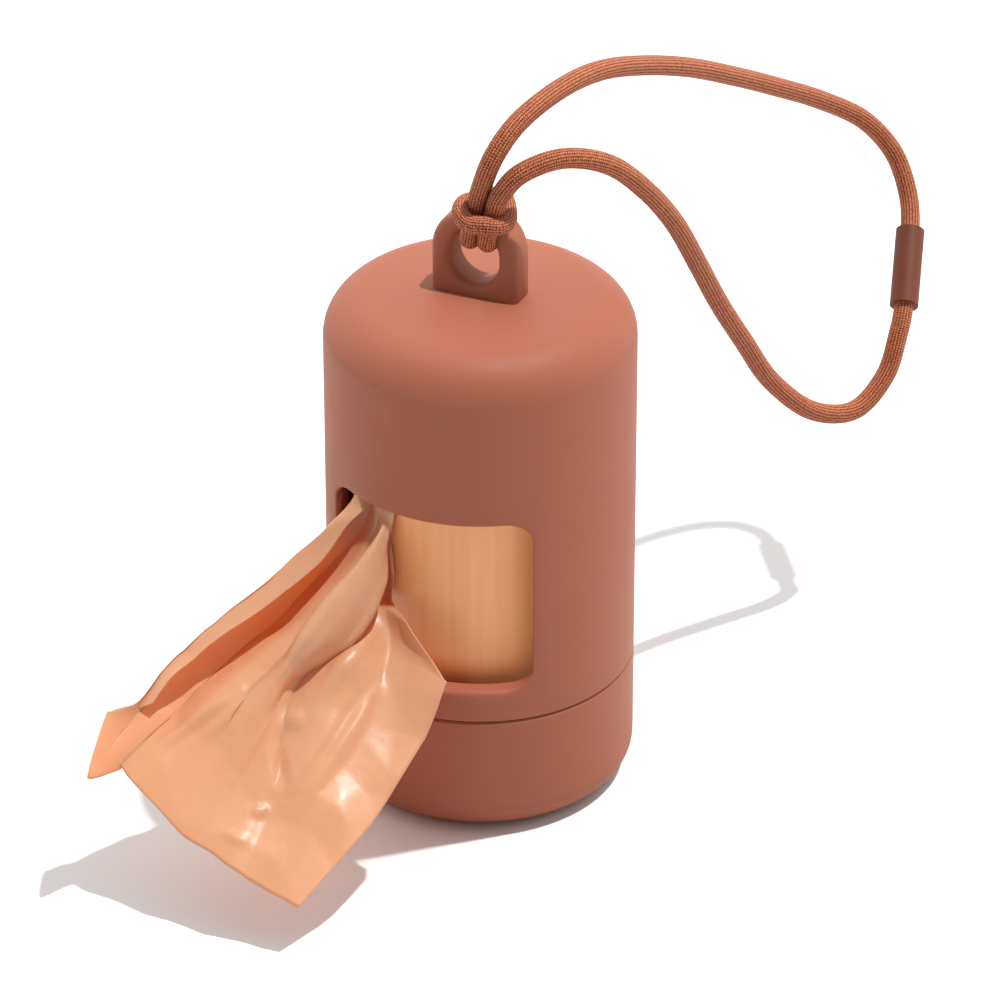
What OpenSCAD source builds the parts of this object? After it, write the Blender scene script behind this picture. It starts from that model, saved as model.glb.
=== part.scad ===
// Dog waste bag dispenser: a capsule that holds a roll of bags, with a window in its wall,
// a screw cap for a base, a ring lug on its roof and a loop of elastic cord in the lug.
// Millimetres, +Z up. The origin is the centre of the foot, on the surface that it stands on.
// The window faces -Y, and the cord loop lies back over +Y.

/* [Body] */
// Outer diameter of the housing and of the cap
body_d = 45; // [37:0.5:56]
// Height from the foot to the crown of the roof
body_h = 77.6; // [64:0.1:100]
// Thickness of the housing's wall and roof
wall = 2.8; // [2.3:0.1:3.4]
// Radius of the shoulder between the wall and the roof
shoulder_r = 6.5; // [5:0.5:8]
// Radius of the crowned roof: a larger one is flatter
crown_r = 180; // [100:10:400]

/* [Window] */
// Width of the window, straight across
window_w = 30.6; // [24:0.2:31]
// Height of the window
window_h = 27.5; // [20:0.5:33]
// Height of the wall left between the seam and the window
sill_h = 5; // [2:0.5:8]
// Radius of the window's corners
window_r = 3.3; // [1:0.1:6]

/* [Cap] */
// Height of the cap, from the foot to the seam
cap_h = 19.5; // [16:0.5:24]
// Radius of the cap's lower edge
foot_r = 4.8; // [2:0.2:6]
// Thickness of the cap's floor
floor_t = 2.4; // [1.6:0.2:4]
// Thickness of the cap's wall where it goes round the neck
cap_wall = 1.3; // [1:0.1:1.5]
// Length of the neck that the cap screws onto
neck_len = 7.5; // [6.5:0.5:10]
// Width of the seam between the cap's rim and the housing
seam_gap = 0.2; // [0.1:0.05:0.5]

/* [Lug] */
// Height of the lug above the crown
lug_h = 14; // [13:0.5:18]
// Thickness of the lug, from front to back
lug_t = 5.1; // [4:0.1:7]
// Thickness of the bar round the eye
lug_bar = 3; // [2.4:0.1:4]
// Width of the eye
eye_w = 7.4; // [6.6:0.1:9]
// Height of the eye's lowest point above the crown
eye_rise = 1.8; // [1:0.1:2.6]
// Radius of the lug's edges
lug_edge_r = 1; // [0.4:0.1:1.2]

/* [Bag roll] */
// Free height between the top of the roll and the roof
head_room = 12.2; // [2:0.1:20]
// Free play between the roll and the housing's wall
roll_play = 1.5; // [0.6:0.1:4]
// Outer diameter of the paperboard core
core_d = 16; // [12:0.5:20]
// Thickness of the core's wall
core_wall = 1.2; // [0.8:0.1:2]
// Thickness of the folded film of the pulled bag
film_t = 1.2; // [0.8:0.1:2]

/* [Cord] */
// Diameter of the elastic cord
cord_d = 3; // [2:0.1:3.6]
// How much thinner the cord is where the hitch stretches it
hitch_squeeze = 0.4; // [0:0.1:0.6]
// Outer diameter of the sleeve over the cord's joint
sleeve_d = 4.4; // [4.2:0.1:6]
// Length of the crimp inside the sleeve
crimp_len = 8; // [4:0.5:10]
// Thickness of the crimp's metal
crimp_wall = 0.25; // [0.2:0.05:0.4]

/* [Hidden] */

$fn = 96;

// clearances
thread_gap = 0.5;    // between the neck and the cap's wall, for the thread's ridges
neck_end_gap = 0.4;  // under the neck's end
stand_gap = 0.2;     // between the roll and the cap's floor
core_gap = 0.05;     // running fit of the film on its core
bag_gap = 0.4;       // between the bag and what it passes
cord_gap = 0.1;      // between the cord's turns, and between them and the lug
crimp_gap = 0.02;    // between the butted ends of the cord

// small edges
rim_chamfer = 0.3;
neck_chamfer = 0.4;
foot_recess = 0.5;
foot_ring_w = 4;
cup_corner_r = 2;
over = 1;            // how far a cut runs past what it cuts

// the shell
body_r = body_d / 2;
chamber_r = body_r - wall;
roof_z = body_h - wall;
neck_r = body_r - cap_wall - thread_gap;
neck_z = cap_h - neck_len;
window_z = cap_h + sill_h;
window_top = window_z + window_h;

// the roll
roll_r = chamber_r - roll_play;
roll_z = floor_t + stand_gap;
roll_len = roof_z - head_room - roll_z;
core_r = core_d / 2;
neck_side = 3;       // free width between the pulled bag and the window's left side
neck_left = asin((window_w / 2 - neck_side) / (roll_r + bag_gap + film_t / 2));
neck_right = 16;     // the bag comes off the roll between these two turns

// the lug, whose top bar is centred at bar_z
lug_w = eye_w + 2 * lug_bar;
bar_z = body_h + lug_h - lug_bar / 2;
arch_z = body_h + lug_h - lug_w / 2;
eye_low_z = body_h + eye_rise + eye_w / 2;
lug_root = 2 * wall / 3;

// the hitch: the cord's two strands pass under the bar side by side, and lean to the right
hitch_d = cord_d - hitch_squeeze;
strand_x = (hitch_d + cord_gap) / 2;
hitch_shift = eye_w / 2 - strand_x - hitch_d / 2 - 1.5 * cord_gap;
hitch_lean = 0.27;   // sideways per unit of height
face_y = lug_t / 2 + hitch_d / 2 + cord_gap;
bar_rise = lug_bar / 2 + hitch_d / 2 + cord_gap;
turn_y = face_y - 0.7;
turn_z = bar_rise - 0.7;
ring_x = strand_x + hitch_d + cord_gap;
ring_y = face_y + hitch_d + cord_gap;
strand_rise = 6.5;   // from the bar to where the strands leave the hitch and bend
bend_gap = 0.6;      // left open on each side of that place, so that the loop can swing
lean_dir = [hitch_lean, 0, 1] / norm([hitch_lean, 0, 1]);

// the free loop, from the centre of the bar
upper_route = [
    [4, -3.5, 11.5], [6, 1.5, 15.5], [7.5, 10.5, 16.5], [8.5, 21.5, 15], [10, 34.5, 10.5],
    [12, 48, 4.5], [14, 61.5, -3], [16.5, 73.5, -10], [19.5, 84, -16], [24, 90.5, -22],
    [28, 93, -28], [31.5, 91, -33.5]
];
sleeve_start = [33.5, 87, -37.5];
sleeve_end = [36.5, 77, -45];
lower_route = [
    [37, 74, -48.5], [36.5, 70.5, -54], [33.5, 65, -57.5], [29, 58, -54.5], [25.5, 51, -47],
    [23.5, 44.5, -37.5], [22, 37.5, -28], [21.5, 30.5, -17.5], [21, 23.5, -7.5], [19, 16, 1],
    [16, 9, 7.5], [12, 2.5, 10.5], [7.5, -2.5, 9.5]
];
sleeve_dir = (sleeve_end - sleeve_start) / norm(sleeve_end - sleeve_start);
sleeve_len = norm(sleeve_end - sleeve_start);
sleeve_mid = (sleeve_start + sleeve_end) / 2;
bar_centre = [0, 0, bar_z];
tube_sides = 8;

// ---------------------------------------------------------------- outlines

// Right half of a capsule's end: a straight wall of radius r, a shoulder and a crowned roof.
module dome_outline(r, shoulder, crown, top) {
    shoulder_x = r - shoulder;
    crown_z = top - crown;
    shoulder_z = crown_z + sqrt(pow(crown - shoulder, 2) - pow(shoulder_x, 2));
    tangent = [shoulder_x, shoulder_z - crown_z] * (crown + over) / (crown - shoulder);
    square([r, shoulder_z]);
    translate([shoulder_x, shoulder_z]) circle(shoulder);
    intersection() {
        translate([0, crown_z]) circle(crown, $fn = 720);
        polygon([[0, 0], [shoulder_x, 0], [shoulder_x, shoulder_z],
                 [tangent.x, crown_z + tangent.y], [0, crown_z + tangent.y]]);
    }
}

// A rectangle centred in x on its lower edge, with corners of radius r.
module rounded_window(w, h, r) {
    translate([-w / 2, r]) square([w, h - 2 * r]);
    translate([-w / 2 + r, 0]) square([w - 2 * r, h]);
    for (x = [-1, 1], y = [r, h - r])
        translate([x * (w / 2 - r), y]) circle(r);
}

// Section of the lug's bar, from inner radius a to outer radius b, thickness t across.
module bar_section(a, b, t, r) {
    translate([a + r, -t / 2]) square([b - a - 2 * r, t]);
    translate([a, -t / 2 + r]) square([b - a, t - 2 * r]);
    for (x = [a + r, b - r], y = [-1, 1])
        translate([x, y * (t / 2 - r)]) circle(r, $fn = 48);
}

// ---------------------------------------------------------------- housing

module housing_shell() {
    difference() {
        rotate_extrude()
            difference() {
                dome_outline(body_r, shoulder_r, crown_r, body_h);
                translate([-over, -over]) square([body_r + 2 * over, cap_h + over]);
                polygon([[body_r - rim_chamfer, cap_h], [body_r + over, cap_h - over],
                         [body_r + over, cap_h + rim_chamfer + over], [body_r, cap_h + rim_chamfer]]);
            }
        chamber();
    }
}

// The hollow that holds the roll. It runs out through the open lower end.
module chamber() {
    rotate_extrude()
        dome_outline(chamber_r, shoulder_r - wall, crown_r - wall, roof_z);
}

// The neck that the cap screws onto, in one with the housing.
module neck() {
    rotate_extrude()
        polygon([[chamber_r, neck_z], [neck_r - neck_chamfer, neck_z], [neck_r, neck_z + neck_chamfer],
                 [neck_r, cap_h + over], [chamber_r, cap_h + over]]);
}

// The window, cut straight back through the front wall.
module window_cut() {
    translate([0, 0, window_z])
        rotate([90, 0, 0])
            linear_extrude(body_r + over)
                rounded_window(window_w, window_h, window_r);
}

// The ring lug: an arch over the eye, two legs, and the lower half of the ring down in the roof.
module lug() {
    for (part = [[arch_z, 0], [eye_low_z, 180]])
        translate([0, 0, part[0]])
            rotate([90, part[1], 0])
                rotate_extrude(angle = 180)
                    bar_section(eye_w / 2, lug_w / 2, lug_t, lug_edge_r);
    for (side = [0, 180])
        rotate([0, 0, side])
            translate([0, 0, body_h - lug_root])
                linear_extrude(arch_z - body_h + lug_root)
                    bar_section(eye_w / 2, lug_w / 2, lug_t, lug_edge_r);
    // inside the bar, across the ends of the arch, so that arch and legs are one solid
    for (x = [-1, 1])
        translate([x * (eye_w + lug_bar) / 2, 0, arch_z]) cube(lug_bar / 2, center = true);
    web_top = eye_rise - lug_edge_r;
    translate([-lug_w / 2 + lug_edge_r, -lug_t / 2, body_h - lug_root])
        cube([lug_w - 2 * lug_edge_r, lug_t, lug_root + web_top]);
}

module housing() color("#a9614b") {
    difference() {
        union() {
            housing_shell();
            neck();
            lug();
        }
        window_cut();
    }
}

// ---------------------------------------------------------------- screw cap

module base_cap() color("#a65d48") {
    rim_z = cap_h - seam_gap;
    cup_z = neck_z - neck_end_gap;
    difference() {
        rotate_extrude()
            difference() {
                union() {
                    translate([0, foot_r]) square([body_r, rim_z - foot_r]);
                    square([body_r - foot_r, rim_z]);
                    translate([body_r - foot_r, foot_r]) circle(foot_r);
                }
                // rounded cup that the roll stands in
                translate([0, floor_t + cup_corner_r]) square([chamber_r, rim_z]);
                translate([0, floor_t]) square([chamber_r - cup_corner_r, rim_z]);
                translate([chamber_r - cup_corner_r, floor_t + cup_corner_r]) circle(cup_corner_r);
                // thinner wall round the neck
                translate([0, cup_z]) square([body_r - cap_wall, rim_z]);
                // broken edge at the seam
                polygon([[body_r - rim_chamfer, rim_z], [body_r, rim_z - rim_chamfer],
                         [body_r + over, rim_z - rim_chamfer], [body_r + over, rim_z + over],
                         [body_r - rim_chamfer, rim_z + over]]);
            }
        // the foot is a ring, so that it stands without rocking
        translate([0, 0, -over]) cylinder(r = body_r - foot_r - foot_ring_w, h = foot_recess + over);
    }
}

// ---------------------------------------------------------------- bag roll

module roll_core() color("#c9a57c") {
    translate([0, 0, roll_z])
        difference() {
            cylinder(r = core_r, h = roll_len);
            translate([0, 0, -over]) cylinder(r = core_r - core_wall, h = roll_len + 2 * over);
        }
}

module roll_film() color("#e0a274") {
    translate([0, 0, roll_z])
        difference() {
            cylinder(r = roll_r, h = roll_len);
            translate([0, 0, -over]) cylinder(r = core_r + core_gap, h = roll_len + 2 * over);
        }
}

// A point off the roll, turned to the left of the window's middle. It lies far enough out
// for flat film to clear the roll between two such points.
function off_roll(turn, z) =
    let (r = (roll_r + bag_gap + film_t / 2) / cos((neck_left - neck_right) / 2))
    [-r * sin(turn), -r * cos(turn), z];

// A point by its place across the window, in front of the wall, and above the sill.
function off_wall(x, out, rise) = [x, -body_r - out, window_z + rise];

// A flat piece of folded film, spanned between points.
module film(points) {
    hull()
        for (p = points)
            translate(p) sphere(d = film_t, $fn = 12);
}

// The first bag: bunched in the window's upper left corner, then spread out and down in front.
module leading_bag() color("#f0bb8c") {
    left_lip = off_wall(-13.2, -1.5, window_h - 4.5);
    right_lip = off_wall(-4, 1.5, window_h - 2.5);
    throat = off_wall(-5, 1.5, 10.5);
    right_corner = off_wall(5.5, 2.5, 1.5);
    tip = off_wall(-36.5, 35.5, -5);
    notch = off_wall(-35, 29, -6.5);
    low_corner = off_wall(-3, 35, -18);
    film([off_roll(neck_left, window_top - 3), off_roll(neck_left, window_top - 10),
          off_roll(neck_right, window_top - 3), off_roll(neck_right, window_top - 15),
          left_lip, right_lip, throat]);
    film([left_lip, right_lip, tip, notch]);
    film([right_lip, notch, low_corner]);
    film([right_lip, throat, right_corner, low_corner]);
}

// ---------------------------------------------------------------- cord

function unit(v) = v / norm(v);

// Point on a smooth curve between b and c, at share t of the way, with a and d beyond them.
function curve_point(a, b, c, d, t) =
    0.5 * (2 * b + (c - a) * t + (2 * a - 5 * b + 4 * c - d) * t * t + (3 * b - a - 3 * c + d) * t * t * t);

// A smooth curve through the points, with this many steps between each two.
function smooth_path(points, steps) = [
    for (i = [0:len(points) - 2], k = [0:steps - 1])
        let (
            before = i == 0 ? 2 * points[0] - points[1] : points[i - 1],
            after = i == len(points) - 2 ? 2 * points[i + 1] - points[i] : points[i + 2]
        )
        curve_point(before, points[i], points[i + 1], after, k / steps),
    points[len(points) - 1]
];

// Direction of a path at each point, with the directions of its two ends given.
function path_dirs(path, first, last) = [
    for (i = [0:len(path) - 1])
        i == 0 ? first : i == len(path) - 1 ? last : unit(path[i + 1] - path[i - 1])
];

// A sideways direction at each point that doesn't twist from one to the next.
function path_sides(dirs) = [
    for (i = 0, side = unit(cross(dirs[0], [0.3, 1, 0.2])); i < len(dirs);
         side = i + 1 < len(dirs) ? unit(side - dirs[i + 1] * (side * dirs[i + 1])) : side, i = i + 1)
        side
];

// A round tube of diameter d along a path.
module tube(path, d, first, last) {
    dirs = path_dirs(path, first, last);
    sides = path_sides(dirs);
    points = [
        for (i = [0:len(path) - 1], k = [0:tube_sides - 1])
            let (turn = 360 * k / tube_sides)
            path[i] + d / 2 * (cos(turn) * sides[i] + sin(turn) * cross(dirs[i], sides[i]))
    ];
    last_ring = (len(path) - 1) * tube_sides;
    walls = [
        for (i = [0:len(path) - 2], k = [0:tube_sides - 1])
            let (
                a = i * tube_sides + k,
                b = i * tube_sides + (k + 1) % tube_sides
            )
            each [[a, a + tube_sides, b + tube_sides], [a, b + tube_sides, b]]
    ];
    ends = [
        [for (k = [0:tube_sides - 1]) k],
        [for (k = [tube_sides - 1:-1:0]) last_ring + k]
    ];
    polyhedron(points, concat(walls, ends));
}

// Where the hitch's middle lies at a height above the bar's centre.
function hitch_x(rise) = hitch_shift + hitch_lean * (rise + bar_rise);

// Where a strand leaves the hitch, from the bar's centre. The loop's joint runs through both.
function strand_bend(side) =
    [hitch_x(strand_rise) + side * (cord_d / 2 + cord_gap), -face_y, strand_rise];

// Half of the hitch, from the bar's centre: down the front of the bar, back through the eye,
// up behind it, over the bar and forward round the outside of the strands.
function half_hitch(side) = [
    strand_bend(side) - bend_gap * lean_dir,
    [hitch_x(3) + side * strand_x, -face_y, 3],
    [hitch_x(0) + side * strand_x, -face_y, 0],
    [hitch_x(-turn_z) + side * strand_x, -turn_y, -turn_z],
    [hitch_shift + side * strand_x, -1.5, -bar_rise],
    [hitch_shift + side * strand_x, 1.5, -bar_rise],
    [hitch_x(-turn_z) + side * (strand_x + 0.1), turn_y, -turn_z],
    [hitch_x(0) + side * (strand_x + 0.8), face_y, 0],
    [hitch_x(turn_z) + side * (strand_x + 1.9), turn_y, turn_z],
    [hitch_x(bar_rise) + side * (strand_x + 2.5), 1.2, bar_rise],
    [hitch_x(bar_rise) + side * ring_x, -1.5, bar_rise],
    [hitch_x(bar_rise) + side * ring_x, -face_y, bar_rise - 0.1],
    [hitch_x(bar_rise) + side * (ring_x - 0.9), -face_y - 1.9, bar_rise - 0.3],
    [hitch_x(bar_rise) + side * 1.3, -ring_y, bar_rise - 0.6]
];

function reversed(list) = [for (i = [len(list) - 1:-1:0]) list[i]];

hitch_path = concat(half_hitch(-1), reversed(half_hitch(1)));
upper_path = concat(
    smooth_path(concat([strand_bend(-1) + bend_gap * lean_dir], upper_route, [sleeve_start]), 2),
    [sleeve_mid - sleeve_dir * crimp_gap]);
lower_path = concat(
    [sleeve_mid + sleeve_dir * crimp_gap],
    smooth_path(concat([sleeve_end], lower_route, [strand_bend(1) + bend_gap * lean_dir]), 2));

module cord_hitch() color("#b36a4d") {
    translate(bar_centre) tube(hitch_path, hitch_d, -lean_dir, lean_dir);
}

module cord_upper() color("#b36a4d") {
    translate(bar_centre) tube(upper_path, cord_d, lean_dir, sleeve_dir);
}

module cord_lower() color("#b36a4d") {
    translate(bar_centre) tube(lower_path, cord_d, sleeve_dir, -lean_dir);
}

// Turns what stands on the origin along +Z onto the line of the sleeve.
module along_sleeve() {
    translate(bar_centre + sleeve_mid)
        rotate([0, acos(sleeve_dir.z), atan2(sleeve_dir.y, sleeve_dir.x)])
            children();
}

module cord_sleeve() color("#8f513d") {
    along_sleeve()
        difference() {
            cylinder(d = sleeve_d, h = sleeve_len, center = true);
            cylinder(d = cord_d, h = sleeve_len + 2 * over, center = true);
            cylinder(d = cord_d + 2 * crimp_wall, h = crimp_len, center = true);
        }
}

module cord_crimp() color("#b9bcc0") {
    along_sleeve()
        difference() {
            cylinder(d = cord_d + 2 * crimp_wall, h = crimp_len, center = true);
            cylinder(d = cord_d, h = crimp_len + 2 * over, center = true);
        }
}

// ---------------------------------------------------------------- nodes

housing();
base_cap();
roll_core();
roll_film();
leading_bag();
cord_hitch();
cord_upper();
cord_lower();
cord_sleeve();
cord_crimp();
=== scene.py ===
import math

import bmesh
import bpy
from mathutils import Matrix, Vector, noise


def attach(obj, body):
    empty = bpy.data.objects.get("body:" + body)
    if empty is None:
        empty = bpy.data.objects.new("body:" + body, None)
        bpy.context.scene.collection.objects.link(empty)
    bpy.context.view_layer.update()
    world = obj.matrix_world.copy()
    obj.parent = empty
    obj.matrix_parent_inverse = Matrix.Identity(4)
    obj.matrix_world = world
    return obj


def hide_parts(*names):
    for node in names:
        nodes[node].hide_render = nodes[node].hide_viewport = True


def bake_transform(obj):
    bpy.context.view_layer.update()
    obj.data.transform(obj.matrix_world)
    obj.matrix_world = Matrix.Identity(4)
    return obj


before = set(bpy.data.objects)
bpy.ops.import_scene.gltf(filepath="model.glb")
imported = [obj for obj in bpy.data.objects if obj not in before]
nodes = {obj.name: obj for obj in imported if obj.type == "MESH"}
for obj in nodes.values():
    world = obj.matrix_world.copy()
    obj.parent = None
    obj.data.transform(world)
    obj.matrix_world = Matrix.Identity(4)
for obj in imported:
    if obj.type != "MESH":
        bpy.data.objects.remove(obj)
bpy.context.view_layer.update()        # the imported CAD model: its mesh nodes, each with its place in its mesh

scene = bpy.context.scene

# ---------------------------------------------------------------- camera
# The photograph's view: a long lens from far off, a little to the right of the window, looking
# down at a third of a right angle.

camera = bpy.data.objects.new("camera", bpy.data.cameras.new("camera"))
scene.collection.objects.link(camera)
camera.location = (0.3017, -0.6707, 0.4795)
aim = Vector((0.00256, 0.00114, 0.0434))
camera.rotation_euler = (aim - camera.location).to_track_quat("-Z", "Y").to_euler()
camera.data.lens = 212
camera.data.sensor_width = 36
scene.camera = camera

# ---------------------------------------------------------------- carry cord
# One length of 3 mm round elastic: rubber threads in a jacket braided of polyester yarn. It is
# folded double, passed under the lug's bar and its own loop drawn over it, and its two ends
# meet inside the sleeve. The route follows the CAD model's to about a millimetre.

mm = 0.001
bar_centre = Vector((0, 0, 0.0901))
cord_d = 3 * mm

# The free strands, in metres from the centre of the lug's bar: up from the hitch and over to the
# sleeve, and from the sleeve back down to the hitch.
upper_route = [(0.0037, -0.0035, 0.0118), (0.0055, 0.0012, 0.0155), (0.0075, 0.0104, 0.0166),
               (0.0088, 0.0215, 0.0147), (0.01, 0.0343, 0.01), (0.012, 0.0477, 0.004),
               (0.014, 0.0612, -0.0032), (0.0164, 0.0733, -0.0101), (0.0196, 0.0838, -0.0165),
               (0.024, 0.0906, -0.0221), (0.0282, 0.0929, -0.0279), (0.0315, 0.091, -0.0335)]
sleeve_start = (0.0335, 0.087, -0.0375)
sleeve_end = (0.0365, 0.077, -0.045)
lower_route = [(0.0368, 0.074, -0.0485), (0.0362, 0.0705, -0.054), (0.0335, 0.0648, -0.0577),
               (0.0291, 0.0579, -0.0552), (0.0252, 0.0507, -0.0473), (0.0232, 0.0442, -0.0377),
               (0.0218, 0.0373, -0.028), (0.021, 0.0302, -0.0178), (0.0203, 0.023, -0.008),
               (0.0188, 0.0156, 0.0005), (0.016, 0.0087, 0.0073), (0.0118, 0.0022, 0.0105),
               (0.0075, -0.0025, 0.0095)]

# Half of the hitch in mm: height over the bar's centre, distance from the hitch's own middle,
# depth, and the cord's radius there. It runs down the front, under the bar, up behind it and
# forward round the outside of the two strands.
half_hitch = [(6.2, 1.55, -4, 1.46), (3, 1.4, -4, 1.4), (0, 1.35, -4, 1.37),
              (-2.2, 1.35, -3.3, 1.34), (-3, 1.35, -1.3, 1.32), (-3, 1.35, 1.3, 1.32),
              (-2.2, 1.4, 3.3, 1.32), (0, 1.4, 3.95, 1.32), (2.2, 1.4, 3.2, 1.28),
              (2.9, 1.7, 1.2, 1.24), (2.9, 2.5, -1.2, 1.2), (2.7, 3.4, -3.5, 1.22),
              (2.6, 2.85, -5.7, 1.28), (2.4, 1.3, -6.8, 1.36)]
hitch_front = (2.3, 0, -6.95, 1.38)
hitch_shift = 0.9           # mm that the hitch sits right of the middle
hitch_lean = 0.27           # how far it leans right for each mm of height
ring_turn = 0.35            # how far its ring goes left for each mm of depth
ring_tilt = 0.35            # how far its ring drops on the right for each mm of width


def hitch_point(side, rise, offset, depth, radius):
    """A point of the hitch in metres from the bar's centre, with the cord's radius there."""
    middle = hitch_shift + hitch_lean * (rise + 2.9) - ring_turn * max(0, depth + 1)
    rise -= ring_tilt * side * max(0, offset - 1.4)
    return (mm * (middle + side * offset), mm * depth, mm * rise, mm * radius)


def curve_point(p, t):
    """A point of the smooth curve through four stations, from the second to the third."""
    a, b, c, d = p
    return (b * 2 + (c - a) * t + (a * 2 - b * 5 + c * 4 - d) * t * t
            + (b * 3 - a - c * 3 + d) * t * t * t) / 2


def smooth_path(stations, steps):
    """The smooth curve through all stations, with so many steps between two of them."""
    ends = [stations[0] * 2 - stations[1], *stations, stations[-1] * 2 - stations[-2]]
    path = [curve_point(ends[i:i + 4], step / steps)
            for i in range(len(stations) - 1) for step in range(steps)]
    return [*path, stations[-1]]


sleeve_middle = [(a + b) / 2 for a, b in zip(sleeve_start, sleeve_end)]
down = [hitch_point(1, *p) for p in half_hitch]
up = [hitch_point(-1, *p) for p in reversed(half_hitch)]
free = cord_d / 2
stations = [Vector((*p, free)) for p in (sleeve_middle, sleeve_end, *lower_route)]
stations += [Vector(p) for p in (*down, hitch_point(0, *hitch_front), *up)]
stations += [Vector((*p, free)) for p in (*upper_route, sleeve_start, sleeve_middle)]
station_steps = 24
fine_path = smooth_path(stations, station_steps)


def at_even_steps(path, step):
    """The same path with its points one step apart, however its stations lie."""
    even, left = [path[0]], step
    for a, b in zip(path, path[1:]):
        gap = (b.xyz - a.xyz).length
        place = left
        while place <= gap:
            even.append(a.lerp(b, place / gap))
            place += step
        left = place - gap
    return even


cord_step = 0.45 * mm
cord_path = at_even_steps(fine_path, cord_step)
cord_sides = 40
cord_grooves = 5            # the jacket sinks in between the bundles of rubber threads
groove_depth = 0.035        # of the cord's radius
cord_length = cord_step * (len(cord_path) - 1)


def turned_frames(path):
    """Two directions across the path at each point, carried along it with the least twist."""
    across = Vector((1, 0, 0))
    for i, p in enumerate(path):
        ahead = (path[min(i + 1, len(path) - 1)].xyz - path[max(i - 1, 0)].xyz).normalized()
        across = (across - ahead * across.dot(ahead)).normalized()
        yield p, across, ahead.cross(across)


def grid_sheet(name, along, around):
    """A flat grid one unit wide each way, as a bmesh with a UV map of that unit square."""
    made = bmesh.new()
    uv = made.loops.layers.uv.new(name)
    bmesh.ops.create_grid(made, x_segments=along, y_segments=around, size=0.5)
    for face in made.faces:
        face.smooth = True
        for loop in face.loops:
            loop[uv].uv = (loop.vert.co.x + 0.5, loop.vert.co.y + 0.5)
    return made, uv


def as_object(made, name, *materials):
    """Turns the bmesh into an object at the origin, with its place in its mesh."""
    mesh = bpy.data.meshes.new(name)
    made.to_mesh(mesh)
    made.free()
    for material in materials:
        mesh.materials.append(material)
    thing = bpy.data.objects.new(name, mesh)
    scene.collection.objects.link(thing)
    return thing


tube, tube_uv = grid_sheet("braid", len(cord_path) - 1, cord_sides)
rings = list(turned_frames(cord_path))
for vert in tube.verts:
    centre, across, upward = rings[round((vert.co.x + 0.5) * (len(cord_path) - 1))]
    turn = 2 * math.pi * (vert.co.y + 0.5)
    radius = centre.w * (1 - groove_depth * (0.5 + 0.5 * math.cos(cord_grooves * turn)) ** 3)
    vert.co = bar_centre + centre.xyz + radius * (math.cos(turn) * across + math.sin(turn) * upward)
for face in tube.faces:
    for loop in face.loops:     # metres round the cord, and metres along it
        loop[tube_uv].uv = (loop[tube_uv].uv.y * math.pi * cord_d, loop[tube_uv].uv.x * cord_length)
bmesh.ops.remove_doubles(tube, verts=tube.verts, dist=1e-7)
bmesh.ops.holes_fill(tube, edges=tube.edges, sides=0)
bmesh.ops.recalc_face_normals(tube, faces=tube.faces)


def linear(hex_colour):
    """The linear colour for an sRGB hex value."""
    parts = [int(hex_colour[i:i + 2], 16) / 255 for i in (1, 3, 5)]
    return [*(p / 12.92 if p <= 0.04045 else ((p + 0.055) / 1.055) ** 2.4 for p in parts), 1]


def new_material(name, **values):
    """A material with its one shader set, as the material and the shader."""
    material = bpy.data.materials.new(name)
    material.use_nodes = True
    shader = material.node_tree.nodes["Principled BSDF"]
    for socket, value in values.items():
        shader.inputs[socket.replace("_", " ")].default_value = value
    return material, shader


def add(material, kind, inputs, **settings):
    """Adds a node with its settings. Each input is a value, or the output that feeds it."""
    made = material.node_tree.nodes.new("ShaderNode" + kind)
    for name, value in settings.items():
        setattr(made, name, value)
    for name, value in inputs.items():
        if isinstance(value, bpy.types.NodeSocket):
            material.node_tree.links.new(value, made.inputs[name])
        else:
            made.inputs[name].default_value = value
    return made


def feed(material, shader, **sources):
    """Links outputs to the shader's sockets."""
    for name, source in sources.items():
        material.node_tree.links.new(source, shader.inputs[name.replace("_", " ")])


# Polyester yarn, braided. Each stitch is a short fleck that leans one way and then the other from
# column to column. Its colour follows its height: painted shade darkens the gaps between the
# stitches and their crowns are painted brighter, over a randomly uneven tone from the fuzz.
stitch = 0.36 * mm          # drawn a little coarser than the real yarn, so that it shows
columns = 20                # round the cord
stitch_lean = 4.2           # radians of a stitch's wave across one column
stitch_wander = 2.5         # radians that the fuzz moves a stitch
braid, braid_shader = new_material("braided_polyester", Roughness=0.7, IOR=1.5,
                                   Specular_IOR_Level=0.25)
place = add(braid, "UVMap", {}, uv_map="braid")
split = add(braid, "SeparateXYZ", {"Vector": place.outputs["UV"]})
column = add(braid, "Math", {0: split.outputs["X"], 1: columns / (math.pi * cord_d)},
             operation="MULTIPLY")
slant = add(braid, "Math", {0: column.outputs[0], 1: 1.0}, operation="PINGPONG")
row = add(braid, "Math", {0: split.outputs["Y"], 1: 2 * math.pi / stitch, 2: 0.0},
          operation="MULTIPLY_ADD")
phase = add(braid, "Math", {0: slant.outputs[0], 1: stitch_lean, 2: row.outputs[0]},
            operation="MULTIPLY_ADD")
coordinates = add(braid, "TexCoord", {})
fuzz = add(braid, "TexNoise", {"Vector": coordinates.outputs["Object"], "Scale": 1 / (0.3 * mm),
                               "Detail": 3.0, "Roughness": 0.6})
uneven = add(braid, "Math", {0: fuzz.outputs["Fac"], 1: stitch_wander, 2: phase.outputs[0]},
             operation="MULTIPLY_ADD")
wave = add(braid, "Math", {0: uneven.outputs[0]}, operation="SINE")
column_turn = add(braid, "Math", {0: column.outputs[0], 1: math.pi}, operation="MULTIPLY")
column_wave = add(braid, "Math", {0: column_turn.outputs[0]}, operation="SINE")
column_crown = add(braid, "Math", {0: column_wave.outputs[0]}, operation="ABSOLUTE")
stitch_height = add(braid, "MapRange", {"Value": wave.outputs[0], "From Min": -1.0,
                                        "From Max": 0.6, "To Min": 0.2, "To Max": 0.6})
yarn_height = add(braid, "Math", {0: stitch_height.outputs[0], 1: column_crown.outputs[0]},
                  operation="MULTIPLY")
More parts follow.
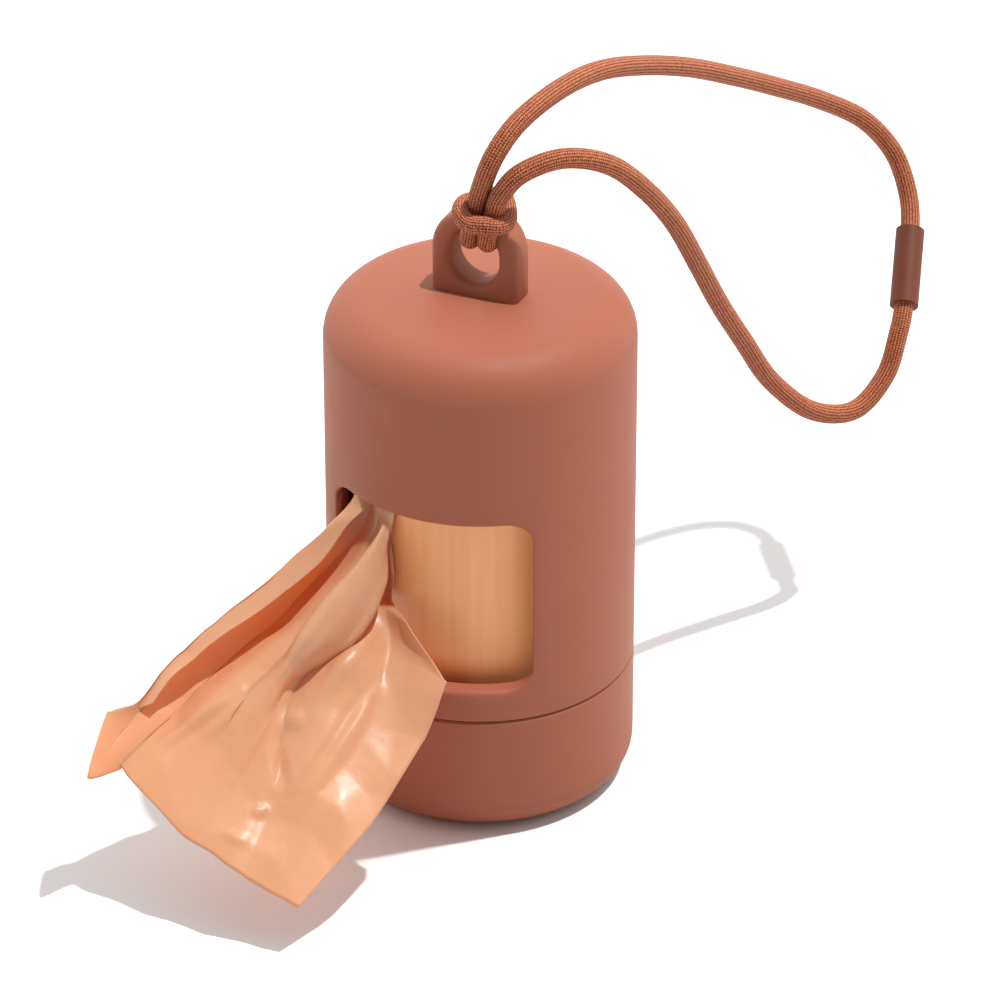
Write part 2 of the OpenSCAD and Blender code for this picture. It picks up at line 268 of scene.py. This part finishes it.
# The colour from this is painted shade in the gaps between the stitches and painted light on their
# crowns, plus a random tone from the fuzz; the bump uses the same height.
tone = add(braid, "Math", {0: fuzz.outputs["Fac"], 1: 1.0, 2: yarn_height.outputs[0]},
           operation="MULTIPLY_ADD")
yarn_colour_and_painted_shade = add(braid, "ValToRGB", {"Fac": tone.outputs[0]})
ramp = yarn_colour_and_painted_shade.color_ramp
ramp.elements[0].position, ramp.elements[0].color = 0.42, linear("#4A1D0F")
ramp.elements[1].position, ramp.elements[1].color = 1.0, linear("#C67850")
ramp.elements.new(0.75).color = linear("#864226")
yarn_bump = add(braid, "Bump", {"Height": tone.outputs[0], "Strength": 0.7,
                                "Distance": 0.08 * mm})
feed(braid, braid_shader, Base_Color=yarn_colour_and_painted_shade.outputs["Color"],
     Normal=yarn_bump.outputs["Normal"])

cord = as_object(tube, "carry_cord", braid)
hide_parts("cord_hitch", "cord_upper", "cord_lower")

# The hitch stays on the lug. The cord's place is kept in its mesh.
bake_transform(cord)

# ---------------------------------------------------------------- sleeve and crimp
# A short tube of soft rubber is pushed over the cord's joint, and hides the aluminium tube that
# is pressed round both of its butted ends.

# Moulded rubber: dull, with a fine skin and a faintly uneven colour.
rubber, rubber_shader = new_material("moulded_rubber", Roughness=0.58, IOR=1.5,
                                     Specular_IOR_Level=0.25)
coordinates = add(rubber, "TexCoord", {})
skin = add(rubber, "TexNoise", {"Vector": coordinates.outputs["Object"], "Scale": 1 / (0.4 * mm),
                                "Detail": 4.0})
shade = add(rubber, "TexNoise", {"Vector": coordinates.outputs["Object"], "Scale": 1 / (3 * mm)})
rubber_tone = add(rubber, "Mix", {"Factor": shade.outputs["Fac"], "A": linear("#5E2B18"),
                                  "B": linear("#693320")}, data_type="RGBA")
skin_bump = add(rubber, "Bump", {"Height": skin.outputs["Fac"], "Strength": 0.3,
                                 "Distance": 0.03 * mm})
feed(rubber, rubber_shader, Base_Color=rubber_tone.outputs["Result"],
     Normal=skin_bump.outputs["Normal"])

# Drawn aluminium: bare metal with dull marks from the drawing.
aluminium, aluminium_shader = new_material("drawn_aluminium", Metallic=1.0,
                                           Base_Color=linear("#C9CBCD"))
coordinates = add(aluminium, "TexCoord", {})
draw_marks = add(aluminium, "TexNoise", {"Vector": coordinates.outputs["Object"],
                                         "Scale": 1 / (0.2 * mm), "Detail": 2.0})
dullness = add(aluminium, "MapRange", {"Value": draw_marks.outputs["Fac"], "To Min": 0.3,
                                       "To Max": 0.5})
feed(aluminium, aluminium_shader, Roughness=dullness.outputs[0])


def repaint(node, material):
    """Gives a CAD node a better material and leaves its mesh alone."""
    nodes[node].data.materials.clear()
    nodes[node].data.materials.append(material)


repaint("cord_sleeve", rubber)
repaint("cord_crimp", aluminium)

# ---------------------------------------------------------------- housing
# One moulding in ABS with a soft-touch coat: a straight wall, a wide shoulder and a nearly flat
# crown, with a window cut straight through the wall. The edges that the hand meets are rounded.

body_r = 22.5 * mm
body_h = 78.4 * mm          # from the foot to the crown
chamber_r = 19.7 * mm
roof_z = 75.6 * mm          # underside of the roof at the axis
wall_t = 2.8 * mm
shoulder_r = 6.5 * mm
crown_r = 180 * mm
cap_h = 19.5 * mm           # from the foot to the seam
seam_edge_r = 0.25 * mm
neck_r = 20.7 * mm          # outside of the neck
neck_z = 12 * mm            # lower end of the neck
neck_edge = 0.4 * mm
window_w = 30.6 * mm
window_h = 27.5 * mm
window_z = 24.5 * mm
window_r = 3.3 * mm
window_outer_edge = 0.75 * mm
window_inner_edge = 0.4 * mm


def arc(centre_r, centre_z, radius, start, end, steps):
    """Points (r, z) along an arc, both ends included. Its angles are in degrees."""
    turns = [math.radians(start + (end - start) * i / steps) for i in range(steps + 1)]
    return [(centre_r + radius * math.cos(t), centre_z + radius * math.sin(t)) for t in turns]


def dome(wall_r, round_r, crown, top_z):
    """The shoulder and the crown of a wall of this radius, from the wall up to the axis."""
    reach = crown - round_r
    round_z = top_z - crown + math.sqrt(reach ** 2 - (wall_r - round_r) ** 2)
    meet = math.degrees(math.acos((wall_r - round_r) / reach))
    shoulder = arc(wall_r - round_r, round_z, round_r, 0, meet, 18)
    return shoulder + arc(0, top_z - crown, crown, meet, 90, 10)[1:]


def spun(outline, steps):
    """A full turn of an outline of (r, z) points about the upright axis."""
    made = bmesh.new()
    line = [made.verts.new((r, 0, z)) for r, z in outline]
    edges = [made.edges.new(pair) for pair in zip(line, line[1:])]
    bmesh.ops.spin(made, geom=line + edges, cent=(0, 0, 0), axis=(0, 0, 1), dvec=(0, 0, 0),
                   angle=2 * math.pi, steps=steps, use_merge=True)
    bmesh.ops.remove_doubles(made, verts=made.verts, dist=1e-7)
    return made


# The wall's rows of faces from just below the window to just above it, and one row more on the
# plain wall.
rows_low = 22.8 * mm
rows_high = 53.7 * mm
row_count = 30
window_rows = [rows_low + i * (rows_high - rows_low) / row_count for i in range(row_count + 1)]
plain_row = 62 * mm
seam_edge = arc(body_r - seam_edge_r, cap_h + seam_edge_r, seam_edge_r, -60, 0, 3)
outer_line = [(body_r - seam_edge_r, cap_h), *seam_edge,
              *[(body_r, z) for z in window_rows], (body_r, plain_row),
              *dome(body_r, shoulder_r, crown_r, body_h)]
inner_line = [(neck_r, cap_h), (neck_r, neck_z + neck_edge), (neck_r - neck_edge, neck_z),
              (chamber_r, neck_z), *[(chamber_r, z) for z in window_rows], (chamber_r, plain_row),
              *dome(chamber_r, shoulder_r - wall_t, crown_r - wall_t, roof_z)]
outer_steps = 168
inner_steps = 144
block = 22                  # columns taken out of the wall on each side, for the window


def open_window(wall, steps):
    """Takes the block round the window out of a spun wall, and returns the rim that is left."""
    limit = math.radians(360 / steps * (block + 0.1))
    cut = []
    for face in wall.faces:
        middle = face.calc_center_median()
        turned = abs(math.atan2(middle.x, -middle.y))
        if turned < limit and window_rows[0] < middle.z < window_rows[-1]:
            cut.append(face)
    bmesh.ops.delete(wall, geom=cut, context="FACES")
    return [e for e in wall.edges if e.is_boundary
            and all(window_rows[0] - 1e-6 < v.co.z < window_rows[-1] + 1e-6 for v in e.verts)]


def onto_window(point, wall_r):
    """The nearest point of the window's rounded outline, on a wall of this radius."""
    half = window_w / 2 - window_r
    x = min(max(point.x, -half), half)
    z = min(max(point.z, window_z + window_r), window_z + window_h - window_r)
    out = Vector((point.x - x, point.z - z)).normalized() * window_r
    x, z = x + out[0], z + out[1]
    return Vector((x, -math.sqrt(wall_r ** 2 - x ** 2), z))


shell = bmesh.new()
for line, steps, wall_r in ((outer_line, outer_steps, body_r),
                            (inner_line, inner_steps, chamber_r)):
    wall = spun(line, steps)
    rim = open_window(wall, steps)
    strip = bmesh.ops.extrude_edge_only(wall, edges=rim)
    for vert in (v for v in strip["geom"] if isinstance(v, bmesh.types.BMVert)):
        vert.co = onto_window(vert.co, wall_r)
    part = bpy.data.meshes.new("wall")
    wall.to_mesh(part)
    wall.free()
    shell.from_mesh(part)
    bpy.data.meshes.remove(part)


def on_window_outline(edge, wall_r):
    """Whether a boundary edge lies on the window's outline on a wall of this radius."""
    return edge.is_boundary and all(
        (v.co - onto_window(v.co, wall_r)).length < 0.01 * mm for v in edge.verts)


outer_rim = [e for e in shell.edges if on_window_outline(e, body_r)]
inner_rim = [e for e in shell.edges if on_window_outline(e, chamber_r)]
bmesh.ops.bridge_loops(shell, edges=outer_rim + inner_rim)
seam = [e for e in shell.edges if e.is_boundary]
bmesh.ops.bridge_loops(shell, edges=seam)
bmesh.ops.recalc_face_normals(shell, faces=shell.faces)
outer_rim = [e for e in outer_rim if e.is_valid]
bmesh.ops.bevel(shell, geom=outer_rim, offset=window_outer_edge, offset_type="OFFSET",
                affect="EDGES", segments=5, profile=0.5, material=-1)
inner_rim = [e for e in inner_rim if e.is_valid]
bmesh.ops.bevel(shell, geom=inner_rim, offset=window_inner_edge, offset_type="OFFSET",
                affect="EDGES", segments=3, profile=0.5, material=-1)
for face in shell.faces:
    face.smooth = True

# ABS under a soft-touch coat: matt, with a faint velvety sheen, a very fine grain and slightly
# uneven colour where the coat is thicker.
soft_touch, soft_touch_shader = new_material("soft_touch_abs", IOR=1.5,
                                             Specular_IOR_Level=0.18)
coordinates = add(soft_touch, "TexCoord", {})
grain = add(soft_touch, "TexNoise", {"Vector": coordinates.outputs["Object"],
                                     "Scale": 1 / (0.25 * mm), "Detail": 3.0, "Roughness": 0.55})
clouds = add(soft_touch, "TexNoise", {"Vector": coordinates.outputs["Object"],
                                      "Scale": 1 / (18 * mm), "Detail": 3.0})
coat_tone = add(soft_touch, "Mix", {"Factor": clouds.outputs["Fac"], "A": linear("#96563F"),
                                    "B": linear("#9B5B44")}, data_type="RGBA")
coat_gloss = add(soft_touch, "MapRange", {"Value": clouds.outputs["Fac"], "From Min": 0.3,
                                          "From Max": 0.7, "To Min": 0.5, "To Max": 0.6})
grain_bump = add(soft_touch, "Bump", {"Height": grain.outputs["Fac"], "Strength": 0.12,
                                      "Distance": 0.02 * mm})
feed(soft_touch, soft_touch_shader, Base_Color=coat_tone.outputs["Result"],
     Roughness=coat_gloss.outputs[0], Normal=grain_bump.outputs["Normal"])


def keep_edges(thing, degrees):
    """Shades smoothly, with hard edges where two faces meet at more than this angle."""
    thing.data.set_sharp_from_angle(angle=math.radians(degrees))


housing = as_object(shell, "housing_shell", soft_touch)
keep_edges(housing, 35)
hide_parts("housing")
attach(housing, "housing")

# The ring lug is moulded with the roof: a flat arch with rounded edges round a long eye. Its
# feet run on down into the roof.
lug_half = 6.7 * mm
eye_half = 3.7 * mm
arch_z = 84.9 * mm          # centre of the arch and of the eye's upper end
eye_low_z = 83.9 * mm       # centre of the eye's lower end
lug_foot_z = 76.6 * mm
lug_t = 5.1 * mm
lug_edge = 1.15 * mm
lug = bmesh.new()
outlines = [bmesh.ops.create_circle(lug, segments=72, radius=1)["verts"] for _ in range(2)]
for vert in outlines[0]:
    x, z = vert.co.x, vert.co.y
    if z >= 0:
        vert.co = (x * lug_half, -lug_t / 2, arch_z + z * lug_half)
    else:
        reach = min(lug_half / max(abs(x), 1e-9), (arch_z - lug_foot_z) / abs(z))
        vert.co = (x * reach, -lug_t / 2, arch_z + z * reach)
for vert in outlines[1]:
    x, z = vert.co.x, vert.co.y
    vert.co = (x * eye_half, -lug_t / 2, (arch_z if z >= 0 else eye_low_z) + z * eye_half)
bmesh.ops.bridge_loops(lug, edges=list(lug.edges))
grown = bmesh.ops.extrude_face_region(lug, geom=list(lug.faces))
bmesh.ops.translate(lug, vec=(0, lug_t, 0),
                    verts=[v for v in grown["geom"] if isinstance(v, bmesh.types.BMVert)])
bmesh.ops.recalc_face_normals(lug, faces=lug.faces)
lug_rims = [e for e in lug.edges if abs(e.verts[0].co.y - e.verts[1].co.y) < 1e-6
            and e.calc_face_angle(0) > 1]
bmesh.ops.bevel(lug, geom=lug_rims, offset=lug_edge, offset_type="OFFSET", affect="EDGES",
                segments=5, profile=0.5, material=-1)
for face in lug.faces:
    face.smooth = True
lug = as_object(lug, "housing_lug", soft_touch)
keep_edges(lug, 40)
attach(lug, "housing")

# The cup screws on with a two-start thread, moulded as low rounded ridges on the neck outside
# and in the cup inside, half a pitch apart.
lead = 6 * mm
thread_steps = 96           # for each turn
ridge_h = 0.35 * mm
ridge_sink = 0.1 * mm       # how far a ridge reaches into its wall
ridge_tip = 0.2 * mm        # half of its width at the tip
ridge_root = 0.55 * mm      # half of its width at the root
neck_thread_low = 13.2 * mm
cup_thread_low = 14.7 * mm
thread_high = 18 * mm


def thread(name, wall_r, outward, start_z, end_z, material):
    """Both ridges of a two-start thread, each a small outline swept up and round."""
    ridges = bmesh.new()
    turns = (end_z - start_z) / lead
    tip_r = wall_r + outward * ridge_h
    root_r = wall_r - outward * ridge_sink
    for start in (0, 180):
        outline = [(root_r, -ridge_root), (tip_r, -ridge_tip), (tip_r, ridge_tip),
                   (root_r, ridge_root)]
        line = [ridges.verts.new((r, 0, start_z + z)) for r, z in outline]
        face = ridges.faces.new(line)
        bmesh.ops.rotate(ridges, verts=line, cent=(0, 0, 0),
                         matrix=Matrix.Rotation(math.radians(start), 3, "Z"))
        bmesh.ops.spin(ridges, geom=[face], cent=(0, 0, 0), axis=(0, 0, 1),
                       dvec=(0, 0, lead / thread_steps), angle=2 * math.pi * turns,
                       steps=round(thread_steps * turns), use_duplicate=False)
    bmesh.ops.recalc_face_normals(ridges, faces=ridges.faces)
    for face in ridges.faces:
        face.smooth = True
    made = as_object(ridges, name, material)
    keep_edges(made, 30)
    return made


neck_thread = thread("neck_thread", neck_r, 1, neck_thread_low, thread_high, soft_touch)
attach(neck_thread, "housing")

# ---------------------------------------------------------------- base cup
# The cup is moulded in the same coated ABS. It closes flush against the housing at a fine seam,
# and its rounded foot ends in a ring that it stands on.

cup_r = 21.2 * mm           # inside of the cup
repaint("base_cap", soft_touch)
cup_thread = thread("cup_thread", cup_r, -1, cup_thread_low, thread_high, soft_touch)
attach(cup_thread, "base_cap")

# ---------------------------------------------------------------- roll core
# A tube wound on a slant from strips of plain brown paperboard and glued. The bags turn on it.

# Paperboard: matt, with short fibres and the soft bands of the strips it is wound from.
board, board_shader = new_material("wound_paperboard", Roughness=0.85, IOR=1.45,
                                   Specular_IOR_Level=0.3)
coordinates = add(board, "TexCoord", {})
fibres = add(board, "TexNoise", {"Vector": coordinates.outputs["Object"], "Scale": 1 / (0.8 * mm),
                                 "Detail": 5.0, "Roughness": 0.7})
strips = add(board, "TexWave", {"Vector": coordinates.outputs["Object"], "Scale": 12.0,
                                "Distortion": 0.3}, bands_direction="DIAGONAL")
board_tone = add(board, "Mix", {"Factor": fibres.outputs["Fac"], "A": linear("#9B7A55"),
                                "B": linear("#C6A47B")}, data_type="RGBA")
strip_tone = add(board, "Mix", {"Factor": strips.outputs["Fac"],
                                "A": board_tone.outputs["Result"], "B": linear("#B08E65")},
                 data_type="RGBA")
fibre_bump = add(board, "Bump", {"Height": fibres.outputs["Fac"], "Strength": 0.5,
                                 "Distance": 0.06 * mm})
feed(board, board_shader, Base_Color=strip_tone.outputs["Result"],
     Normal=fibre_bump.outputs["Normal"])
repaint("roll_core", board)

# ---------------------------------------------------------------- bag roll
# Fifteen bags of thin film, folded to the roll's width and wound on end to end. The winding
# shows as faint upright lines on the outside and as fine rings on the two end faces.

roll_r = 18.2 * mm
core_r = 8.2 * mm
roll_low = 2.6 * mm
roll_high = 62.6 * mm
roll_edge = 0.4 * mm
end_rings = 26
ring_depth = 0.12 * mm
side_rows = 24
ripple_h = 0.12 * mm
ripples_round = 4           # radius of the roll in the noise's own units
ripples_up = 14             # the noise's units for each metre of height
end_face = [core_r + (roll_r - roll_edge - core_r) * i / end_rings for i in range(end_rings + 1)]
dips = [ring_depth * (i % 2) for i in range(end_rings + 1)]
roll_side = [roll_low + roll_edge + (roll_high - roll_low - 2 * roll_edge) * i / side_rows
             for i in range(side_rows + 1)]
roll_line = [(core_r, roll_low)]
roll_line += [(r, roll_low + dip) for r, dip in zip(end_face[1:], dips)]
roll_line += [(roll_r, z) for z in roll_side]
roll_line += [(r, roll_high - dip) for r, dip in zip(reversed(end_face[1:]), dips)]
roll_line += [(core_r, roll_high), (core_r, roll_low)]
roll_steps = 240
roll = spun(roll_line, roll_steps)
bmesh.ops.recalc_face_normals(roll, faces=roll.faces)
for vert in roll.verts:         # the film isn't wound perfectly round or flat
    wide = math.hypot(vert.co.x, vert.co.y)
    if wide > roll_r - 0.1 * mm:
        turn = math.atan2(vert.co.y, vert.co.x)
        ripple = noise.noise(Vector((ripples_round * math.cos(turn),
                                     ripples_round * math.sin(turn), vert.co.z * ripples_up)))
        vert.co.xy *= 1 - ripple_h * (1 + ripple) / wide
for face in roll.faces:
    face.smooth = True

# Thin film in layers: soft gloss, and fine streaks that run up the roll where it was drawn and
# folded.
wound, wound_shader = new_material("wound_film", Roughness=0.42, IOR=1.5,
                                   Subsurface_Weight=0.15, Subsurface_Scale=1.5 * mm)
wound_shader.inputs["Subsurface Radius"].default_value = (1.0, 0.4, 0.2)
coordinates = add(wound, "TexCoord", {})
stretch = add(wound, "Mapping", {"Vector": coordinates.outputs["Object"],
                                 "Scale": (1.0, 1.0, 0.04)})
streaks = add(wound, "TexNoise", {"Vector": stretch.outputs["Vector"], "Scale": 1 / (1.6 * mm),
                                  "Detail": 4.0, "Roughness": 0.65})
streak_tone = add(wound, "ValToRGB", {"Fac": streaks.outputs["Fac"]})
streak_tone.color_ramp.elements[0].position = 0.3
streak_tone.color_ramp.elements[0].color = linear("#E39A5E")
streak_tone.color_ramp.elements[1].position = 0.7
streak_tone.color_ramp.elements[1].color = linear("#E8A470")
streak_bump = add(wound, "Bump", {"Height": streaks.outputs["Fac"], "Strength": 0.15,
                                  "Distance": 0.08 * mm})
feed(wound, wound_shader, Base_Color=streak_tone.outputs["Color"],
     Normal=streak_bump.outputs["Normal"])
roll = as_object(roll, "wound_bags", wound)
keep_edges(roll, 50)
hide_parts("roll_film")
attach(roll, "bag_roll")

# ---------------------------------------------------------------- leading bag
# The first bag of the roll, pulled out of the window as far as its gathered neck allows. It is
# a flat tube of blown film about 0.02 mm thick, so it creases sharply and glows where light
# comes through. Its left edge is turned over, a long cone of film lies over the middle, and the
# rest spreads out flat to the cut edge.

# Each rail runs along one fold in mm, by stations from the roll to the cut edge.
rails = {
    "free_edge": [(-10.5, -15.5, 53.5), (-10, -16, 49.5), (-12, -19.5, 47), (-14.5, -24.5, 42.5),
                  (-20, -31, 38), (-26, -37, 34), (-30, -42, 30), (-31.5, -45, 27)],
    "left_fold": [(-12, -14.5, 53.5), (-12.5, -17, 49.5), (-15, -21.5, 46.5), (-19.5, -26, 42),
                  (-25.5, -32.5, 37), (-30.5, -38.5, 32), (-34.5, -43.5, 27), (-37, -47, 24.5)],
    "flap": [(-12, -14.5, 52.5), (-13, -16, 48.5), (-15.5, -18.5, 45), (-20, -22.5, 39.5),
             (-26, -29, 34.5), (-30.5, -36, 29), (-34.5, -43, 24), (-37, -55.5, 18.5)],
    "valley": [(-10.5, -15.5, 52), (-10.5, -15.5, 47.5), (-12.5, -17, 43), (-17, -20, 37),
               (-21, -26, 31.5), (-25.5, -33.5, 27), (-30, -42, 22), (-34.5, -50, 18)],
    "crest": [(-9.5, -16.2, 53), (-8.5, -17, 48.5), (-9.5, -18, 44.5), (-12.5, -21.5, 39),
              (-17, -28, 33), (-22, -35.5, 27.5), (-27, -43.5, 22), (-31.5, -51.5, 17)],
    "panel": [(-8.5, -16.7, 53.5), (-8, -17, 48.5), (-8.5, -18, 44.5), (-11.5, -22.5, 39),
              (-15, -29.5, 32), (-19.5, -38, 25), (-22.5, -45.5, 19.5), (-26.5, -53, 14.5)],
    "cone_ridge": [(-7, -17.4, 54), (-7, -17.5, 49), (-7, -20.5, 46.5), (-8.5, -26, 41.5),
                   (-11.5, -31.5, 35.5), (-16, -36.5, 28), (-18.5, -44.5, 19.5), (-22, -54.5, 12)],
    "cone_foot": [(-6, -17.8, 53.5), (-6, -18, 49), (-6, -19.5, 45.5), (-6.5, -23.5, 40),
                  (-9, -28, 34), (-15.5, -35, 27.5), (-16, -44, 19), (-17, -55, 10.5)],
    "lobe": [(-5.5, -18, 52.5), (-5.5, -18, 49), (-6.5, -18, 44), (-5.5, -21, 39.5),
             (-7.5, -26, 34), (-14, -32.5, 28), (-13.5, -44, 18.5), (-13.5, -56, 9.5)],
    "tuck": [(-7.5, -17.3, 49), (-7, -17.5, 47), (-8, -17, 42.5), (-10.5, -18, 36),
             (-13, -25, 31.5), (-15, -33, 27), (-12, -44, 18), (-11.5, -56, 8.5)],
    "hump": [(-8, -17, 46), (-7, -17.5, 41.5), (-8, -17, 37), (-8.5, -21, 34),
             (-7.5, -26.5, 31.5), (-9.5, -35, 26), (-8, -44.5, 17.5), (-8.5, -56, 7.5)],
    "brow": [(-7, -17.5, 45), (-6, -18, 40.5), (-7, -17.5, 35.5), (-6, -20, 34.5),
             (-3.7, -23.5, 30), (-3.5, -33, 23), (-3.5, -44.5, 16), (-5.5, -56.5, 7)],
    "edge": [(-6, -17.9, 44), (-5.5, -18, 39.5), (-5.5, -19, 35.5), (-1, -22.5, 34.5),
             (7, -26, 29), (5.5, -31.5, 22), (2.5, -43.5, 14), (-3, -56.5, 6)],
}
along_steps = 24            # between two stations of a rail
across_steps = 14           # between two rails
rail_softness = 0.9         # 1 is a smooth curve through the stations, 0 is straight lines
edge_softness = 0.3         # the same for the last rail, the film's edge
fold_softness = 0.5         # the same across the rails


def film_line(stations, steps, softness):
    """A line through the stations. Film creases, so it turns sharper than a smooth curve."""
    line = smooth_path(stations, steps)
    for i, point in enumerate(line[:-1]):
        station, t = divmod(i, steps)
        straight = stations[station].lerp(stations[station + 1], t / steps)
        line[i] = straight.lerp(point, softness)
    return line


folds = [film_line([mm * Vector(p) for p in rail], along_steps,
                   edge_softness if name == "edge" else rail_softness)
         for name, rail in rails.items()]
sections = [film_line(line, across_steps, fold_softness) for line in zip(*folds)]
film, _ = grid_sheet("film", len(sections) - 1, len(sections[0]) - 1)
for vert in film.verts:
    vert.co = sections[round((vert.co.x + 0.5) * (len(sections) - 1))][
        round((vert.co.y + 0.5) * (len(sections[0]) - 1))]
film.normal_update()

# Hard creases, pressed in while the bag was folded. Each has two ends, as (fold, station) on the
# rails, then its height and half width in mm. The film's own folds are too soft for these.
creases = [((6.6, 0.8), (6.1, 4.7), 1.1, 1.8), ((11, 4.6), (9.9, 6.4), 1.1, 1.7),
           ((10.4, 4.8), (9.4, 6.5), 0.7, 1.2), ((8.1, 5.5), (9.8, 5.2), 0.8, 2),
           ((8.1, 5.7), (9.5, 6.1), -0.7, 1.6), ((7.7, 6.4), (9.2, 6.3), 0.6, 1),
           ((7, 6.75), (8.6, 6.7), 0.4, 1), ((5.3, 4.5), (4.6, 6), 0.7, 1.4),
           ((4.4, 5), (3.7, 6.6), 0.6, 1.2), ((10.3, 3.7), (9.9, 4.9), 0.8, 1),
           ((6.4, 6.2), (7.3, 5.2), 0.4, 1.2)]


def on_film(fold, station):
    """A point of the film, by the numbers of the fold and the station it lies at."""
    return sections[round(station * along_steps)][round(fold * across_steps)]


def creased(point):
    """How far the film stands off its smooth shape at a point, from all creases."""
    total = 0
    for start, end, height, half_width in creases:
        a, b = on_film(*start), on_film(*end)
        t = min(1, max(0, (point - a).dot(b - a) / (b - a).length_squared))
        near = max(0, 1 - (point - a.lerp(b, t)).length / (half_width * mm))
        total += height * mm * near * math.sin(math.pi * min(0.95, max(0.1, t)))
    return total


facets = [(20, 17, 0.6), (75, 11, 0.4), (120, 23, 0.6), (155, 8, 0.2)]   # degrees, mm and mm


def crumpled(point):
    """Flat facets between straight creases: zigzags of a few directions, periods and heights."""
    warp = noise.noise(point / (14 * mm)) * 5
    total = 0
    for turn, period, height in facets:
        across = Vector((math.cos(math.radians(turn)), math.sin(math.radians(turn))))
        total += height * abs((point.xy.dot(across) / mm + warp) / period % 1 * 2 - 1)
    return total * mm


# The film lies smooth on the roll as far out as roll_front, and is fully creased a little on.
roll_front = -19.5 * mm
crease_reach = 8 * mm
moves = []
for vert in film.verts:
    free_of_roll = min(1, max(0, (roll_front - vert.co.y) / crease_reach))
    moves.append(vert.normal * (crumpled(vert.co) + creased(vert.co)) * free_of_roll)
for vert, move in zip(film.verts, moves):
    vert.co += move

# Blown film: thin, glossy with soft creases in the gloss, and lit through from behind.
blown, blown_shader = new_material("blown_film", IOR=1.5, Specular_IOR_Level=0.7)
coordinates = add(blown, "TexCoord", {})
crinkle = add(blown, "TexNoise", {"Vector": coordinates.outputs["Object"], "Scale": 1 / (2.5 * mm),
                                  "Detail": 5.0, "Roughness": 0.6})
thick = add(blown, "TexNoise", {"Vector": coordinates.outputs["Object"], "Scale": 1 / (12 * mm),
                                "Detail": 2.0})
film_tone = add(blown, "Mix", {"Factor": thick.outputs["Fac"], "A": linear("#E0C294"),
                               "B": linear("#E6CAA0")}, data_type="RGBA")
film_gloss = add(blown, "MapRange", {"Value": crinkle.outputs["Fac"], "To Min": 0.26,
                                     "To Max": 0.45})
crinkle_bump = add(blown, "Bump", {"Height": crinkle.outputs["Fac"], "Strength": 0.35,
                                   "Distance": 0.2 * mm})
feed(blown, blown_shader, Base_Color=film_tone.outputs["Result"],
     Roughness=film_gloss.outputs[0], Normal=crinkle_bump.outputs["Normal"])
glow = add(blown, "BsdfTranslucent", {"Color": linear("#F0962C"),
                                      "Normal": crinkle_bump.outputs["Normal"]})
both = add(blown, "MixShader", {0: 0.55, 1: blown_shader.outputs[0], 2: glow.outputs[0]})
blown.node_tree.links.new(both.outputs[0],
                          blown.node_tree.nodes["Material Output"].inputs["Surface"])
bag = as_object(film, "pulled_bag", blown)
film_wall = bag.modifiers.new("film_wall", "SOLIDIFY")
film_wall.thickness = 0.1 * mm          # more than the real film, so that it has two clear sides
film_wall.offset = 0
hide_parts("leading_bag")
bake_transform(bag)

# ---------------------------------------------------------------- floor and light
# A plain white table. The key stands high behind the right shoulder and throws the shadows on
# the table. The housing, cup, bag and roll are lit from above instead, past the cord. White
# walls all round fill the shade, darker at the front.

floor = bmesh.new()
bmesh.ops.create_grid(floor, x_segments=1, y_segments=1, size=3)
# Rolled white paint: plain and matt.
white, _ = new_material("white_paint", Roughness=0.7, Base_Color=linear("#DEDEDE"))
floor = as_object(floor, "floor", white)


sun_width = 1.6             # degrees across, which gives the shadows a soft edge


def linked(name, state, things):
    """A collection that a light is linked to, or kept from, as its state says."""
    group = bpy.data.collections.new(name)
    for thing in things:
        group.objects.link(thing)
    for entry in group.collection_objects:
        entry.light_linking.link_state = state
    return group


def sunlight(name, toward, energy, state, things):
    """A small soft sun that lights these things alone, or all but these."""
    sun = bpy.data.objects.new(name, bpy.data.lights.new(name, "SUN"))
    scene.collection.objects.link(sun)
    sun.data.energy = energy
    sun.data.angle = math.radians(sun_width)
    sun.rotation_euler = Vector(toward).to_track_quat("Z", "Y").to_euler()
    sun.light_linking.receiver_collection = linked(name, state, things)
    return sun


# The housing doesn't shade the bag and the roll, but it shades the cup's rim, so the seam is
# dark. That takes two lights from above.
cup = nodes["base_cap"]
behind_right = (0.305, 0.274, 1)
from_above = (0.25, 0.06, 1)
key_strength = 3.6
top_strength = 3.5
sunlight("key_light", behind_right, key_strength, "EXCLUDE", [housing, cup, bag, roll])
top_light = sunlight("top_light", from_above, top_strength, "INCLUDE", [housing, bag, roll])
top_light.light_linking.blocker_collection = linked("passed", "EXCLUDE", [housing, cord])
cup_light = sunlight("cup_light", from_above, top_strength, "INCLUDE", [cup])
cup_light.light_linking.blocker_collection = linked("cord_only", "EXCLUDE", [cord])

# The walls: white light from all round, weakest from the front.
front = (0.353, -0.785, 0.51)
sky = bpy.data.worlds.new("sky")
sky.use_nodes = True
background = sky.node_tree.nodes["Background"]
background.inputs["Color"].default_value = (1, 1, 1, 1)
way = add(sky, "TexCoord", {})
toward_front = add(sky, "VectorMath", {0: way.outputs["Generated"], 1: front},
                   operation="DOT_PRODUCT")
wall_light = add(sky, "MapRange", {"Value": toward_front.outputs["Value"], "From Min": 0.0,
                                   "From Max": 0.9, "To Min": 1.6, "To Max": 0.2})
sky.node_tree.links.new(wall_light.outputs[0], background.inputs["Strength"])
scene.world = sky
scene.view_settings.view_transform = "Standard"
